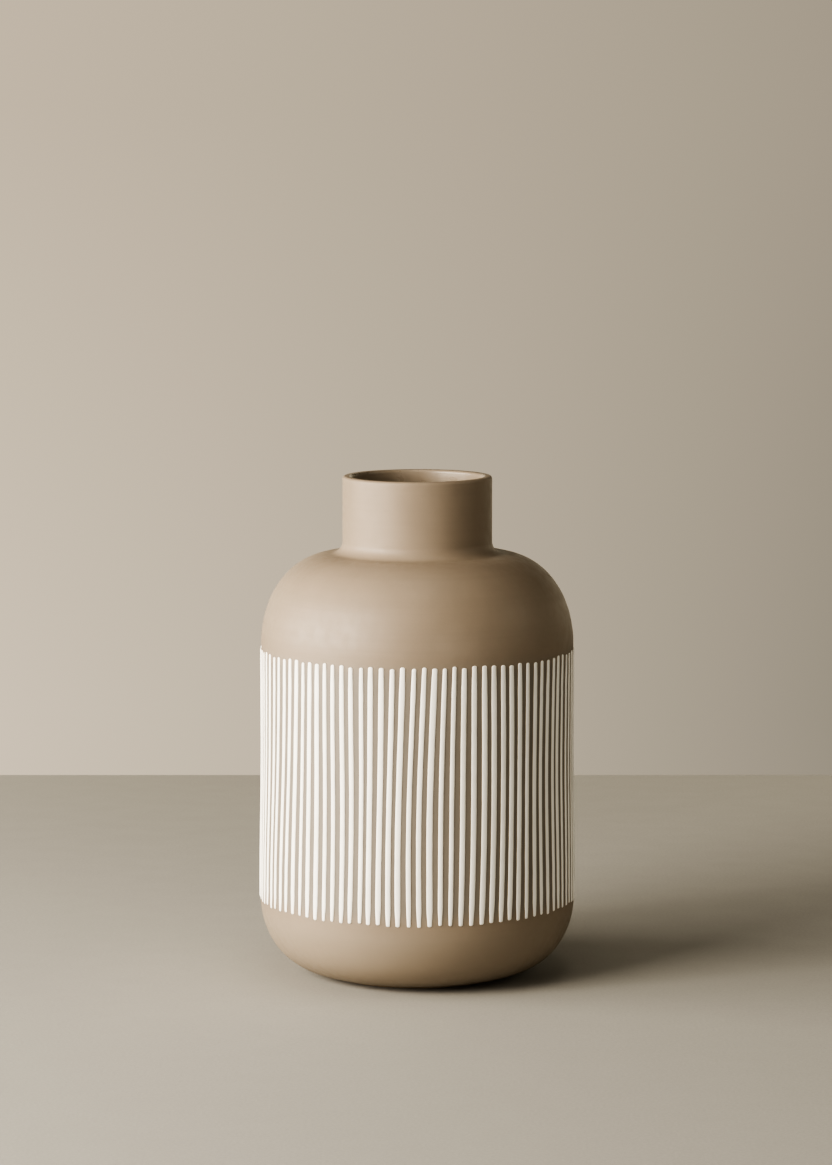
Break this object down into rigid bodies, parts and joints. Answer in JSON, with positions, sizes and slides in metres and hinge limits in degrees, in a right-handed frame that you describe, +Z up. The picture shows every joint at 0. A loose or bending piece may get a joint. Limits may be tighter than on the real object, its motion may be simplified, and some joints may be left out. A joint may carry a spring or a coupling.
{
  "type": "stoneware bottle vase",
  "caption": "Round-shouldered stoneware bottle vase with a short straight neck, matte taupe glaze and fine raised white vertical slip lines round the belly.",
  "frame": {"origin": "centre of the foot ring's resting face, on the axis of the vase", "axes": "+Z up along the axis of the vase, towards the mouth; the vase is round, so X and Y are free, and -Y faces the viewer"},
  "size_m": [0.16, 0.16, 0.252],
  "materials": {
    "bare_stoneware": "unglazed, fine and slightly rough",
    "joint_slip": "fired slip, unglazed",
    "outer_glaze": "smooth matte taupe glaze",
    "liner_glaze": "satin taupe glaze",
    "white_slip": "smooth matte warm white"
  },
  "bodies": {
    "root": {"foot_ring": "bare_stoneware", "foot_joint_slip": "joint_slip", "heel_bowl": "bare_stoneware", "heel_joint_slip": "joint_slip", "belly_wall": "bare_stoneware", "shoulder_joint_slip": "joint_slip", "shoulder_dome": "bare_stoneware", "neck_joint_slip": "joint_slip", "neck_collar": "bare_stoneware", "outer_glaze": "outer_glaze", "liner_glaze": "liner_glaze", "slip_lines_front": "white_slip", "slip_lines_right": "white_slip", "slip_lines_back": "white_slip", "slip_lines_left": "white_slip"}
  },
  "joints": []
}
